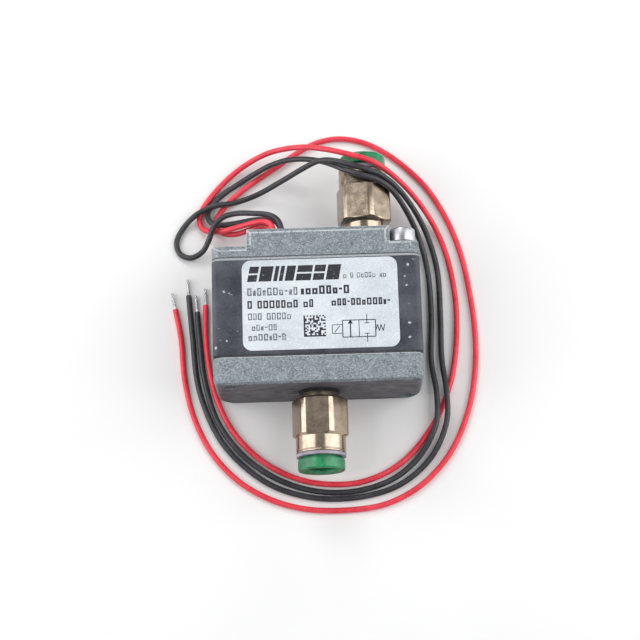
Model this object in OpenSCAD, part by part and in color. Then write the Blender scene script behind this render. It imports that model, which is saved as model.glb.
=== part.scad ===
// Two-way shutter solenoid valve with push-in fittings and four flying leads.
// It lies on its back: the label looks up, the upper port looks along +Y.

/* [Body] */
// Width across the label
body_w = 57; // [56.5:0.5:62]
// Depth from the back face to the label face
body_d = 24; // [24:0.5:26]
// Height of the die-cast base plate
base_h = 7.6; // [7.2:0.1:9]
// Height of the moulded coil housing
housing_h = 26.8; // [26.8:0.1:30]
// Height of the cover's two corner ledges
ledge_h = 3.9; // [3.6:0.1:5]
// Height of the cover's raised middle above its ledges
raised_h = 4.75; // [4.5:0.05:6]
// Width of the cover's raised middle
raised_w = 39.6; // [36:0.2:39.6]
// How far the raised middle sits to the right
raised_x = 0.8; // [0:0.1:0.8]
// Thickness of the gasket under the coil housing
base_gasket_t = 0.4; // [0.3:0.1:0.6]
// Thickness of the gasket under the cover
cover_gasket_t = 0.6; // [0.3:0.1:0.8]
// Radius of the castings' corners beside the label face
casting_r = 3; // [1.5:0.5:3]
// Radius of the corners beside the back face
back_r = 5; // [2:0.5:5.5]
// Radius of the coil housing's corners beside the label face
housing_r = 1.6; // [1:0.2:3]

/* [Screws] */
// Distance of each screw from the middle, across the label
screw_x = 24.2; // [23.8:0.1:24.6]
// Distance of each screw from the nearer large face
screw_inset = 4; // [3.8:0.1:4.2]
// Radius of the two through mounting holes and the tie screws' clearance holes
hole_r = 2.15; // [2.1:0.05:2.2]
// Radius of a tie screw's shank
shank_r = 2; // [1.9:0.05:2]
// Radius of a tie screw's head
head_r = 3.5; // [3.3:0.1:3.5]
// Height of a tie screw's head
head_h = 4; // [3:0.1:4]

/* [Fittings] */
// Place of the upper fitting across the label
upper_x = 14.1; // [13.4:0.1:14.2]
// Length of the upper fitting's neck
upper_neck = 3.75; // [2:0.05:5]
// Length of the lower fitting's neck
lower_neck = 2.3; // [2:0.05:5]
// Distance across the hexagon's flats
hex_af = 14; // [13.8:0.1:14]
// Length of the hexagon
hex_l = 10.6; // [10.4:0.1:12]
// Length of the round barrel beyond the hexagon
barrel_l = 4.6; // [4.6:0.1:6]
// Radius of the round barrel
barrel_r = 6.85; // [6.7:0.05:7]
// Radius of the tube that pushes in
tube_r = 4; // [4:0.1:4]
// How far a release collar travels when it is pushed in
collar_stroke = 0.75; // [0.5:0.05:0.75]

/* [Solenoids] */
// Distance from one shutter unit to the next
unit_pitch = 10.4; // [10.2:0.1:10.4]
// Angle that a shutter opens by, in degrees
shutter_swing = 2; // [1:0.1:2]

/* [Leads] */
// Diameter of one insulated lead
lead_d = 1.6; // [1.2:0.1:1.6]
// Diameter of a stripped and tinned tip
tip_d = 0.9; // [0.7:0.1:1]
// Length of a stripped tip
tip_l = 5; // [3:0.5:8]

/* [Label] */
// Width of the label
label_w = 42.4; // [38:0.2:44]
// Height of the label
label_h = 25.4; // [20:0.2:25.4]
// How far the label sits to the right of the middle
label_x = 1; // [-2:0.1:2]
// Corner radius of the label
label_r = 2.5; // [1:0.1:4]
// Thickness of the label
label_t = 0.12; // [0.08:0.02:0.2]

/* [Hidden] */
$fn = 48;
cut = 0.01;

casting_grey = [0.55, 0.58, 0.60];
housing_black = [0.16, 0.16, 0.17];
nickel_brass = [0.72, 0.66, 0.54];
collar_green = [0.15, 0.55, 0.35];
ring_grey = [0.62, 0.58, 0.64];
steel = [0.75, 0.75, 0.77];
seal_black = [0.08, 0.08, 0.08];

// Heights of the stack along Y, from the base plate's face to the cover's top.
base_y0 = -21.75;
base_y1 = base_y0 + base_h;
housing_y0 = base_y1 + base_gasket_t;
housing_y1 = housing_y0 + housing_h;
cover_y0 = housing_y1 + cover_gasket_t;
ledge_y = cover_y0 + ledge_h;
top_y = ledge_y + raised_h;
top_strip = 1.4;
left_strip = 1.6;
ledge_strip = 0.6;
mid_z = body_d / 2;
front_z = body_d - screw_inset;
rear_z = screw_inset;

head_room = 0.3;

// Depths of the blind holes and ducts in the two castings.
screw_hole_y = base_y0 + 2.6;
screw_tip_y = base_y0 + 3.2;
nozzle_seat_y = base_y1 - 1.4;
duct_floor_y = cover_y0 + 1;
air_duct_y = cover_y0 + 1.9;
wire_duct_y = cover_y0 + 2.4;

// The shutter chamber, the shutters in it and the magnet units above it.
chamber_half = 21;
chamber_z = [2, 22.2];
lip_y = housing_y0 + 2.55;
chamber_y = housing_y0 + 3.25;
nozzle_y = base_y1 + 1.15;
nozzle_r = 1.7;
orifice_r = 1;
pad_r = 1.9;
pad_y = nozzle_y + 0.02;
pad_h = 0.6;
plate_y = pad_y + pad_h;
plate_t = 1.1;
plate_z = [3.2, 21.6];
plate_w = 9.2;
spring_z = 20.3;
spring_seat_y = housing_y0 + 7.45;
spring_seat_r = 1.5;
spring_r = 1.05;
spring_wire = 0.32;
cushion_r = 0.87;
cushion_z = plate_z[0] + 1;
pocket_half = 4.8;
pocket_z = [5, 18.2];
leg_y = lip_y + 0.55;
yoke_y = [housing_y0 + 20.8, housing_y0 + 24.35];
rear_leg_z = 9.4;
rear_leg = [5.2, 3.6];
front_leg_z = 16.35;
front_leg = [5.2, 3.5];
winding_y = [leg_y + 1.8, yoke_y[0] - 0.9];
flange_t = 0.6;
bobbin_in = rear_leg / 2;
bobbin_out = bobbin_in + [0.45, 0.45];
flange_out = [4.6, 4.3];
winding_out = [4.4, 4.1];
wire_hole_z = 5.95;
wire_hole_r = 0.9;
passage_r = 2;

// The two ports and what screws into them.
port_r = 4.86;
port_depth = 5.2;
thread_l = 5;
gallery_y = base_y0 + 4.25;
gallery_r = 1.7;
flow_r = 2.8;
neck_r = 5.25;
seal_w = 0.5;
hex_corner_r = 7.7;
edge = 0.4;
socket_r = tube_r + 0.05;
stop_z = 2;
gland_z = [6.5, 8.9];
gland_r = 5.45;
mouth_r = 5.9;
collar_r = 5.28;
head_out_r = 6.45;
sleeve_r = collar_r + 0.07;
ring_h = 0.9;
head_gap = collar_stroke + 0.05;
collar_head_h = 2;
upper_turn = 44;
lower_turn = 7;

// The wire outlet and the four leads' exits in its grommet.
outlet = [-10.5, 12];
outlet_r = 3.5;
grommet_y = top_y + 0.5;

// Points that each lead follows, from the grommet to its free end.
red_1_route = [
    [-11.6, 22.8, 13.1], [-11.6, 24.8, 13.1], [-12.6, 27.1, 12.6], [-15, 28.1, 11.6],
    [-18.4, 28, 10], [-22, 27.8, 7.9], [-26, 27.7, 5.4], [-29.6, 28.2, 3.2],
    [-32.4, 29.8, 1.8], [-33.3, 33, 0.9], [-31.9, 36.6, 0.9], [-28.6, 41, 0.9],
    [-24, 45.6, 1.2], [-18.6, 49, 2.8], [-13, 50.6, 6], [-7.6, 50.2, 10.4],
    [-2.6, 48.8, 15], [2, 47, 18.4], [6.4, 45.3, 20.4], [11, 43.8, 20.8],
    [14.6, 42.8, 20.4], [18.4, 41.5, 18.8], [22.4, 39.6, 15.2], [26.6, 37, 10.6],
    [31, 33, 5.6], [35, 27, 1.9], [38, 18, 0.9], [39.6, 5, 0.9],
    [38.8, -9, 0.9], [36.2, -20, 0.9], [31, -30.5, 0.9], [22.5, -40, 0.9],
    [12, -45, 0.9], [1.5, -45.6, 0.9], [-8, -43.4, 0.9], [-17, -38.2, 0.9],
    [-24.6, -29.8, 0.9], [-29.4, -19, 0.9], [-31.6, -6, 0.9], [-31.8, 7, 0.9]
];
red_2_route = [
    [-11.6, 22.8, 10.9], [-11.6, 24.6, 10.8], [-12.7, 26.8, 9.9], [-15.2, 27.7, 8.5],
    [-18.6, 27.4, 6.4], [-22, 27, 4.4], [-25.2, 27.4, 2.9], [-27.8, 29, 1.9],
    [-28.4, 31.8, 1.1], [-27.1, 34.8, 0.9], [-24.2, 38.2, 0.9], [-20.2, 41.6, 0.9],
    [-15.4, 45, 0.9], [-10, 48.6, 0.9], [-4.4, 52.4, 0.9], [0.5, 55, 0.9],
    [5.5, 56.3, 0.9], [10.2, 56.2, 0.9], [15.4, 54.8, 0.9], [20.6, 52, 0.9],
    [26.4, 47.4, 0.9], [32.8, 40.4, 0.9], [38, 31, 0.9], [41.6, 20.5, 0.9],
    [43.6, 9, 0.9], [44.6, -3, 0.9], [44, -15, 0.9], [41.2, -27, 0.9],
    [35.8, -38, 0.9], [27.5, -46.6, 0.9], [17.5, -51.6, 0.9], [6.5, -53, 0.9],
    [-4.5, -52.4, 0.9], [-14.5, -49.4, 0.9], [-23.5, -43.8, 0.9], [-30.8, -35.4, 0.9],
    [-35.6, -25, 0.9], [-38, -14, 0.9], [-38.8, -3, 0.9], [-40.4, 6, 0.9]
];
black_1_route = [
    [-9.4, 22.8, 13.1], [-9.4, 25.4, 13.1], [-10.4, 28, 12.9], [-12.8, 29.7, 12.5],
    [-17, 30.6, 11.5], [-22, 31.4, 9.6], [-26.2, 30.9, 7.8], [-28.8, 28.6, 6.3],
    [-30.4, 25.2, 4.5], [-32.4, 22.4, 2.7], [-35.8, 21.1, 1.4], [-39, 22.6, 0.9],
    [-39.9, 26.2, 0.9], [-37.8, 30.4, 1.1], [-33.8, 33.8, 2.8], [-28.6, 36, 3.3],
    [-22.6, 37.2, 2.2], [-16, 39.4, 2.6], [-9, 41.8, 6.6], [-3, 43.2, 12.4],
    [1.8, 43.6, 17.4], [6, 42.5, 20.2], [10.4, 40.9, 21], [14.6, 39.8, 20.5],
    [18.6, 38.6, 18.9], [23.4, 36.4, 14.2], [28.4, 31.8, 7.6], [32.4, 25, 2.4],
    [34.8, 15, 0.9], [35, 2, 1], [34.8, -11, 1.3], [35.6, -21, 3],
    [35, -30, 2.6], [30.2, -39.4, 1.2], [21, -46.6, 0.9], [9, -49.6, 0.9],
    [-4, -49, 0.9], [-16.5, -44, 0.9], [-27.6, -33, 0.9], [-33.8, -18, 0.9],
    [-35.6, -2, 0.9], [-36.6, 10, 0.9]
];
black_2_route = [
    [-9.4, 22.8, 10.9], [-9.4, 25.2, 10.9], [-10.5, 27.9, 10.4], [-13, 29.3, 9.4],
    [-17.4, 29.9, 7.6], [-22.6, 29.8, 5.4], [-27.2, 29.9, 4], [-30, 31.4, 2.7],
    [-30.8, 34.4, 1.4], [-28.9, 37.8, 0.9], [-25.6, 40.8, 0.9], [-21.6, 43.4, 1],
    [-17.2, 45.6, 2.4], [-12.4, 47.2, 5], [-7.6, 47.4, 8.4], [-2.8, 46.4, 11.8],
    [1.8, 44.6, 14.8], [5.6, 42.2, 17.7], [9.4, 39.6, 20], [13.8, 37.9, 20.5],
    [18.2, 36.8, 19.1], [22.6, 34.6, 14.8], [27, 29.6, 8], [30.4, 22.6, 2.6],
    [32.2, 13, 1], [32.4, 1, 0.9], [31.8, -11, 1.2], [32.8, -21.5, 2.8],
    [32, -30.5, 2.8], [26.8, -39.2, 1.3], [18.6, -45.2, 0.9], [8, -47.9, 0.9],
    [-3, -47.2, 0.9], [-13.5, -43.2, 0.9], [-22.4, -36.2, 0.9], [-29, -26.5, 0.9],
    [-32.4, -14.5, 0.9], [-33.6, -3, 0.9], [-34.2, 5, 0.9]
];
routes = [red_1_route, red_2_route, black_1_route, black_2_route];

// Place of unit i, from 0 to 3, across the label.
function unit_x(i) = (i - 1.5) * unit_pitch;

// Centred rectangle standing on the X axis, with its lower and upper corners rounded by low_r and r.
module round_rect(w, h, r, low_r) {
    translate([-w / 2 + low_r, 0]) square([w - 2 * low_r, low_r + cut]);
    translate([-w / 2, low_r]) square([w, h - low_r - r]);
    translate([-w / 2 + r, h - r - cut]) square([w - 2 * r, r + cut]);
    for (side = [-1, 1]) {
        translate([side * (w / 2 - low_r), low_r]) circle(r = low_r);
        translate([side * (w / 2 - r), h - r]) circle(r = r);
    }
}

// A profile drawn in X and Z, carried along Y from y0 to y1.
module along_y(y0, y1) {
    translate([0, y1, 0]) rotate([90, 0, 0]) linear_extrude(y1 - y0) children();
}

module rod_y(x, z, y0, y1, r) {
    along_y(y0, y1) translate([x, z]) circle(r = r);
}

// Box between two corners.
module block(low, high) {
    translate(low) cube(high - low);
}

// Cutter that takes a 45 degree strip of width c off an edge along X.
module edge_strip(x0, x1, y, z, c) {
    translate([(x0 + x1) / 2, y, z]) rotate([45, 0, 0]) cube([x1 - x0, c * sqrt(2), c * sqrt(2)], center = true);
}

// All four corner holes: two for tie screws and two for mounting.
module corner_holes(y0, y1) {
    for (x = [-screw_x, screw_x], z = [rear_z, front_z])
        rod_y(x, z, y0, y1, hole_r);
}

module mounting_holes(y0, y1) {
    rod_y(-screw_x, front_z, y0, y1, hole_r);
    rod_y(screw_x, rear_z, y0, y1, hole_r);
}

// Where the air passage meets the shutter chamber.
module inlet_slot(y0, y1) {
    block([chamber_half - 1, y0, mid_z - passage_r], [screw_x + passage_r, y1, mid_z + passage_r]);
}

module base_plate() {
    color(casting_grey) difference() {
        along_y(base_y0, base_y1) round_rect(body_w, body_d, casting_r, back_r);
        edge_strip(-body_w, body_w, base_y0, body_d, 0.6);
        edge_strip(-body_w, body_w, base_y0, 0, 0.6);
        rod_y(0, mid_z, base_y0 - cut, base_y0 + port_depth, port_r);
        translate([-body_w / 2 - cut, gallery_y, mid_z]) rotate([0, 90, 0])
            cylinder(r = gallery_r, h = body_w / 2 + unit_x(3) + nozzle_r + cut);
        for (i = [0:3]) {
            rod_y(unit_x(i), mid_z, gallery_y, base_y1 + cut, orifice_r);
            rod_y(unit_x(i), mid_z, nozzle_seat_y, base_y1 + cut, nozzle_r);
        }
        inlet_slot(nozzle_seat_y, base_y1 + cut);
        mounting_holes(base_y0 - cut, base_y1 + cut);
        rod_y(screw_x, front_z, screw_hole_y, base_y1 + cut, shank_r);
        rod_y(-screw_x, rear_z, screw_hole_y, base_y1 + cut, shank_r);
    }
}

module base_gasket() {
    color(seal_black) difference() {
        along_y(base_y1, housing_y0) round_rect(body_w, body_d, casting_r, back_r);
        block([-chamber_half, base_y1 - cut, chamber_z[0]], [chamber_half, housing_y0 + cut, chamber_z[1]]);
        inlet_slot(base_y1 - cut, housing_y0 + cut);
        corner_holes(base_y1 - cut, housing_y0 + cut);
    }
}

module coil_housing() {
    color(housing_black) difference() {
        along_y(housing_y0, housing_y1) round_rect(body_w, body_d, housing_r, back_r);
        block([-chamber_half, housing_y0 - cut, chamber_z[0]], [chamber_half, lip_y, chamber_z[1]]);
        block([-chamber_half, housing_y0, pocket_z[0]], [chamber_half, chamber_y, chamber_z[1]]);
        inlet_slot(housing_y0 - cut, lip_y);
        rod_y(screw_x, mid_z, housing_y0, housing_y1 + cut, passage_r);
        for (i = [0:3]) {
            block([unit_x(i) - pocket_half, housing_y0, pocket_z[0]],
                  [unit_x(i) + pocket_half, yoke_y[1], pocket_z[1]]);
            rod_y(unit_x(i), wire_hole_z, yoke_y[0], housing_y1 + cut, wire_hole_r);
            rod_y(unit_x(i), spring_z, housing_y0, spring_seat_y, spring_seat_r);
        }
        corner_holes(housing_y0 - cut, housing_y1 + cut);
    }
}

module cover_gasket() {
    color(seal_black) difference() {
        along_y(housing_y1, cover_y0) round_rect(body_w, body_d, casting_r, back_r);
        rod_y(screw_x, mid_z, housing_y1 - cut, cover_y0 + cut, passage_r);
        for (i = [0:3])
            rod_y(unit_x(i), wire_hole_z, housing_y1 - cut, cover_y0 + cut, wire_hole_r);
        corner_holes(housing_y1 - cut, cover_y0 + cut);
    }
}

// The raised middle, centred on X: an outline with cut corners, and side walls that lean in.
module raised_middle() {
    draft = 3;
    corner = 1.2;
    half = raised_w / 2;
    difference() {
        along_y(cover_y0, top_y) polygon([
            [-half, corner], [-half + corner, 0], [half - corner, 0], [half, corner],
            [half, body_d - corner], [half - corner, body_d],
            [-half + corner, body_d], [-half, body_d - corner]
        ]);
        for (side = [0, 1]) mirror([side, 0, 0])
            translate([half, ledge_y, -1]) rotate([0, 0, draft])
                cube([raised_w, 2 * raised_h, body_d + 2]);
    }
}

module top_cover() {
    left_x = raised_x - raised_w / 2;
    right_x = raised_x + raised_w / 2;
    wire_z = [wire_hole_z - wire_hole_r, wire_hole_z + wire_hole_r];
    color(casting_grey) difference() {
        union() {
            along_y(cover_y0, ledge_y) round_rect(body_w, body_d, casting_r, back_r);
            translate([raised_x, 0, 0]) raised_middle();
        }
        edge_strip(left_x, right_x, top_y, body_d, top_strip);
        edge_strip(left_x, right_x, top_y, 0, top_strip);
        edge_strip(-body_w, left_x, ledge_y, body_d, left_strip);
        edge_strip(-body_w, left_x, ledge_y, 0, ledge_strip);
        for (z = [0, body_d]) edge_strip(right_x, body_w, ledge_y, z, ledge_strip);
        corner_holes(cover_y0 - cut, ledge_y + cut);
        rod_y(screw_x, front_z, ledge_y, top_y + cut, head_r + head_room);
        rod_y(-screw_x, rear_z, ledge_y, top_y + cut, head_r + head_room);
        rod_y(upper_x, mid_z, top_y - port_depth, top_y + cut, port_r);
        rod_y(upper_x, mid_z, duct_floor_y, top_y, flow_r);
        block([upper_x - passage_r, cover_y0 - cut, mid_z - passage_r],
              [screw_x + passage_r, air_duct_y, mid_z + passage_r]);
        block([unit_x(0) - wire_hole_r, cover_y0 - cut, wire_z[0]],
              [unit_x(3) + wire_hole_r, wire_duct_y, wire_z[1]]);
        block([outlet[0] - passage_r, cover_y0 - cut, wire_z[0]],
              [outlet[0] + passage_r, wire_duct_y, outlet[1]]);
        rod_y(outlet[0], outlet[1], duct_floor_y, top_y + cut, outlet_r);
    }
}

module label() {
    color("gainsboro") translate([label_x, 0, body_d]) linear_extrude(label_t)
        translate([0, -label_h / 2 + 0.1]) round_rect(label_w, label_h, label_r, label_r);
}

// Socket head screw along Y, head outwards, from its own profile.
module tie_screw(x, z) {
    tip = screw_tip_y - ledge_y;
    key_af = 3;
    key_depth = 2.2;
    color(steel) difference() {
        translate([x, ledge_y, z]) rotate([-90, 0, 0]) rotate_extrude()
            polygon([
                [0, tip], [shank_r - edge, tip], [shank_r, tip + edge], [shank_r, 0],
                [head_r, 0], [head_r, head_h - edge], [head_r - edge, head_h], [0, head_h]
            ]);
        translate([x, ledge_y + head_h + cut, z]) rotate([90, 0, 0])
            cylinder(r = key_af / sqrt(3), h = key_depth, $fn = 6);
    }
}

module tie_screw_front() { tie_screw(screw_x, front_z); }
module tie_screw_rear() { tie_screw(-screw_x, rear_z); }

module nozzles() {
    color("goldenrod") for (i = [0:3]) difference() {
        rod_y(unit_x(i), mid_z, nozzle_seat_y, nozzle_y, nozzle_r);
        rod_y(unit_x(i), mid_z, nozzle_seat_y - cut, nozzle_y + cut, orifice_r);
    }
}

module gallery_plug() {
    color(steel) translate([-body_w / 2, gallery_y, mid_z]) rotate([0, 90, 0])
        cylinder(r = gallery_r, h = 3);
}

module hinge_cushion() {
    color(seal_black) translate([-chamber_half + 1, base_y1 + cushion_r, cushion_z]) rotate([0, 90, 0])
        cylinder(r = cushion_r, h = 2 * chamber_half - 2);
}

// Flat steel shutter: hinged at the rear edge, with a boss for its spring.
module shutter(i) {
    color(steel) translate([unit_x(i), 0, 0]) {
        block([-plate_w / 2, plate_y, plate_z[0]], [plate_w / 2, plate_y + plate_t, plate_z[1]]);
        rod_y(0, spring_z, plate_y + plate_t - cut, plate_y + plate_t + 0.4, spring_r - spring_wire);
    }
}

module shutter_pad(i) {
    color(seal_black) rod_y(unit_x(i), mid_z, pad_y, plate_y, pad_r);
}

// U-shaped core: a yoke across the top of two legs.
module core(i) {
    color(steel) translate([unit_x(i), 0, 0]) {
        block([-rear_leg[0] / 2, leg_y, rear_leg_z - rear_leg[1] / 2],
              [rear_leg[0] / 2, yoke_y[1], rear_leg_z + rear_leg[1] / 2]);
        block([-front_leg[0] / 2, leg_y, front_leg_z - front_leg[1] / 2],
              [front_leg[0] / 2, yoke_y[1], front_leg_z + front_leg[1] / 2]);
        block([-front_leg[0] / 2, yoke_y[0], rear_leg_z], [front_leg[0] / 2, yoke_y[1], front_leg_z]);
    }
}

// Rectangular ring around the rear leg, from y0 to y1, reaching out to the given half sizes.
module leg_ring(i, y0, y1, inner, outer) {
    along_y(y0, y1) translate([unit_x(i), rear_leg_z]) difference() {
        square(2 * outer, center = true);
        square(2 * inner, center = true);
    }
}

module bobbin(i) {
    color("ivory") {
        leg_ring(i, winding_y[0] - flange_t, winding_y[1] + flange_t, bobbin_in, bobbin_out);
        leg_ring(i, winding_y[0] - flange_t, winding_y[0], bobbin_in, flange_out);
        leg_ring(i, winding_y[1], winding_y[1] + flange_t, bobbin_in, flange_out);
    }
}

module winding(i) {
    color("chocolate") leg_ring(i, winding_y[0], winding_y[1], bobbin_out, winding_out);
}

module wire_grommet() {
    color(seal_black) {
        rod_y(outlet[0], outlet[1], wire_duct_y, top_y, outlet_r);
        rod_y(outlet[0], outlet[1], top_y, grommet_y, outlet_r + 0.8);
    }
}

// Each fitting is drawn along its own +Z from the body's face, then placed on its port.
module at_upper() { translate([upper_x, top_y, mid_z]) rotate([-90, 0, 0]) children(); }
module at_lower() { translate([0, base_y0, mid_z]) rotate([90, 0, 0]) children(); }

// Hexagon of the given length with its corners turned down at both ends.
module turned_hex(turn) {
    slope = (hex_corner_r - hex_af / 2 + 0.2) * tan(30);
    intersection() {
        rotate(turn) cylinder(r = hex_af / sqrt(3), h = hex_l, $fn = 6);
        rotate_extrude() polygon([
            [0, 0], [hex_af / 2 - 0.2, 0], [hex_corner_r, slope], [hex_corner_r, hex_l - slope],
            [hex_af / 2 - 0.2, hex_l], [0, hex_l]
        ]);
    }
}

// Bored barrel: thread, neck, hexagon and the mouth that holds the tube's seal and grip.
module fitting_body(neck, turn) {
    end = neck + hex_l + barrel_l;
    color(nickel_brass) difference() {
        union() {
            translate([0, 0, -thread_l]) cylinder(r = port_r, h = thread_l);
            cylinder(r = neck_r, h = neck + cut);
            translate([0, 0, neck]) turned_hex(turn);
            translate([0, 0, neck + hex_l - cut]) cylinder(r = barrel_r, h = barrel_l + cut);
        }
        translate([0, 0, -thread_l - cut]) cylinder(r = flow_r, h = end);
        translate([0, 0, neck + stop_z]) cylinder(r = socket_r, h = end);
        translate([0, 0, neck + gland_z[0]]) cylinder(r = gland_r, h = gland_z[1] - gland_z[0]);
        translate([0, 0, neck + gland_z[1]]) cylinder(r = mouth_r, h = end);
        rotate_extrude() translate([neck_r + seal_w / 2, seal_w]) circle(r = seal_w);
    }
}

// Round seal squeezed between the body's face and the fitting's neck.
module shoulder_seal() {
    color(seal_black) rotate_extrude() translate([neck_r + seal_w / 2, seal_w]) circle(r = seal_w);
}

module tube_seal(neck) {
    wire_r = (gland_r - socket_r) / 2 - 0.02;
    color(seal_black) translate([0, 0, neck + (gland_z[0] + gland_z[1]) / 2])
        rotate_extrude() translate([(gland_r + socket_r) / 2, 0]) circle(r = wire_r);
}

// Coned stainless ring whose teeth hold the tube.
module grip_ring(neck) {
    color(steel) translate([0, 0, neck + gland_z[1]]) rotate_extrude() polygon([
        [mouth_r - 0.9, 0], [mouth_r, 0], [mouth_r, 0.3], [mouth_r - 0.9, 0.3],
        [socket_r + 0.25, 0.9], [socket_r + 0.03, 0.7]
    ]);
}

// Pressed sleeve with the grey flange that closes the mouth.
module retaining_ring(neck) {
    mouth_end = hex_l + barrel_l;
    color(ring_grey) translate([0, 0, neck]) rotate_extrude() polygon([
        [sleeve_r, gland_z[1] + 0.3], [mouth_r, gland_z[1] + 0.3], [mouth_r, mouth_end],
        [barrel_r, mouth_end], [barrel_r, mouth_end + ring_h], [sleeve_r, mouth_end + ring_h]
    ]);
}

// Sliding release collar: a thin sleeve round the tube and the green head that a finger pushes.
module release_collar(neck) {
    head_z = hex_l + barrel_l + ring_h + head_gap;
    end_z = head_z + collar_head_h;
    color(collar_green) translate([0, 0, neck]) rotate_extrude() polygon([
        [socket_r + 0.05, gland_z[1] + 1.9], [collar_r, gland_z[1] + 1.9], [collar_r, head_z],
        [head_out_r, head_z], [head_out_r, end_z - edge], [head_out_r - edge, end_z],
        [socket_r + 0.9, end_z], [socket_r + 0.05, end_z - 0.8]
    ]);
}

module upper_fitting_body() { at_upper() fitting_body(upper_neck, upper_turn); }
module upper_shoulder_seal() { at_upper() shoulder_seal(); }
module upper_tube_seal() { at_upper() tube_seal(upper_neck); }
module upper_grip_ring() { at_upper() grip_ring(upper_neck); }
module upper_retaining_ring() { at_upper() retaining_ring(upper_neck); }
module upper_release_collar() { at_upper() release_collar(upper_neck); }
module lower_fitting_body() { at_lower() fitting_body(lower_neck, lower_turn); }
module lower_shoulder_seal() { at_lower() shoulder_seal(); }
module lower_tube_seal() { at_lower() tube_seal(lower_neck); }
module lower_grip_ring() { at_lower() grip_ring(lower_neck); }
module lower_retaining_ring() { at_lower() retaining_ring(lower_neck); }
module lower_release_collar() { at_lower() release_collar(lower_neck); }

// Smooth curve through four points, at t from 0 to 1 between the middle two.
function between(a, b, c, d, t) =
    0.5 * (2 * b + (c - a) * t + (2 * a - 5 * b + 4 * c - d) * t * t + (3 * b - a - 3 * c + d) * t * t * t);

// Point i of a path, which runs straight on past its two ends.
function past(p, i) = i < 0 ? 2 * p[0] - p[1] : i < len(p) ? p[i] : 2 * p[i - 1] - p[i - 2];

function smooth(p, parts) = concat(
    [for (i = [0:len(p) - 2], k = [0:parts - 1])
        between(past(p, i - 1), p[i], p[i + 1], past(p, i + 2), k / parts)],
    [p[len(p) - 1]]);

function unit(v) = v / norm(v);

// Direction of travel at each point of a path.
function headings(p) = [for (i = [0:len(p) - 1]) unit(p[min(i + 1, len(p) - 1)] - p[max(i - 1, 0)])];

// Side direction carried from point to point without twisting.
function sides(t, i, s) = i == len(t) ? []
    : let (n = unit(s - (s * t[i]) * t[i])) concat([n], sides(t, i + 1, n));

// Closed tube of radius r with the given number of flat sides along a path.
module tube_along(p, r, flats, first_side) {
    t = headings(p);
    s = sides(t, 0, first_side);
    last = len(p) - 1;
    points = [for (i = [0:last], k = [0:flats - 1])
        let (a = 360 * k / flats) p[i] + r * (cos(a) * s[i] + sin(a) * cross(t[i], s[i]))];
    walls = [for (i = [0:last - 1], k = [0:flats - 1])
        let (a = i * flats + k, b = i * flats + (k + 1) % flats) each [[a, a + flats, b], [b, a + flats, b + flats]]];
    ends = [[for (k = [0:flats - 1]) k], [for (k = [flats - 1:-1:0]) last * flats + k]];
    polyhedron(points, concat(walls, ends));
}

module lead(route) { tube_along(smooth(route, 2), lead_d / 2, 8, [1, 0, 0]); }
module lead_red_1() { color("crimson") lead(red_1_route); }
module lead_red_2() { color("crimson") lead(red_2_route); }
module lead_black_1() { color("dimgray") lead(black_1_route); }
module lead_black_2() { color("dimgray") lead(black_2_route); }

// Stripped ends, each in line with its lead's last stretch.
module lead_tips() {
    color("silver") for (route = routes) {
        tail = smooth(route, 2);
        end = tail[len(tail) - 1];
        way = unit(end - tail[len(tail) - 2]);
        translate(end) rotate([0, 90, atan2(way[1], way[0])]) cylinder(r = tip_d / 2, h = tip_l);
    }
}

// Compression spring between a shutter and its seat in the housing.
module return_spring(i) {
    coils = 5;
    steps = 10;
    y0 = plate_y + plate_t + spring_wire / 2;
    rise = (spring_seat_y - y0 - spring_wire / 2) / (coils * steps);
    path = [for (k = [0:coils * steps])
        let (a = 360 * k / steps)
            [unit_x(i) + spring_r * cos(a), y0 + k * rise, spring_z + spring_r * sin(a)]];
    color(steel) tube_along(path, spring_wire / 2, 6, [1, 0, 0]);
}

base_plate();
coil_housing();
top_cover();
base_gasket();
cover_gasket();
label();
tie_screw_front();
tie_screw_rear();
nozzles();
gallery_plug();
hinge_cushion();
wire_grommet();
for (i = [0:3]) {
    shutter(i);
    shutter_pad(i);
    return_spring(i);
    core(i);
    bobbin(i);
    winding(i);
}
upper_fitting_body();
upper_shoulder_seal();
upper_tube_seal();
upper_grip_ring();
upper_retaining_ring();
upper_release_collar();
lower_fitting_body();
lower_shoulder_seal();
lower_tube_seal();
lower_grip_ring();
lower_retaining_ring();
lower_release_collar();
lead_red_1();
lead_red_2();
lead_black_1();
lead_black_2();
lead_tips();
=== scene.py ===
import bmesh
import bpy
import numpy as np
from mathutils import Matrix, Vector
from mathutils.bvhtree import BVHTree


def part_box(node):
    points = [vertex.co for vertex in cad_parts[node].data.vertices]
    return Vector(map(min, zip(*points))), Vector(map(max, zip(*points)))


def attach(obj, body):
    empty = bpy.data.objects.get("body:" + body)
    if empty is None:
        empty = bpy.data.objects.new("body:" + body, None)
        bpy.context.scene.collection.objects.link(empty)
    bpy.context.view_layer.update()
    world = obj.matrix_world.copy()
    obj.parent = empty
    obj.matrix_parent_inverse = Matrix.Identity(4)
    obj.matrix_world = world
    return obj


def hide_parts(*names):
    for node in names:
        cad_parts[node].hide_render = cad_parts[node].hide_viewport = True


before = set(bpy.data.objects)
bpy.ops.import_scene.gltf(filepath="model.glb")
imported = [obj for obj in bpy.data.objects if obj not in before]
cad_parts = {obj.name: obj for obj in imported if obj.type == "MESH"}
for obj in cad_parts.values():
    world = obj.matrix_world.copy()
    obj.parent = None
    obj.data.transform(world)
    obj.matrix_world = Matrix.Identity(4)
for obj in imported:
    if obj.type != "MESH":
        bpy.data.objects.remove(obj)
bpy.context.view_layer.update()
mm = 0.001
print("frame loaded:", len(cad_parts), "nodes")

# shader sums


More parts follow.
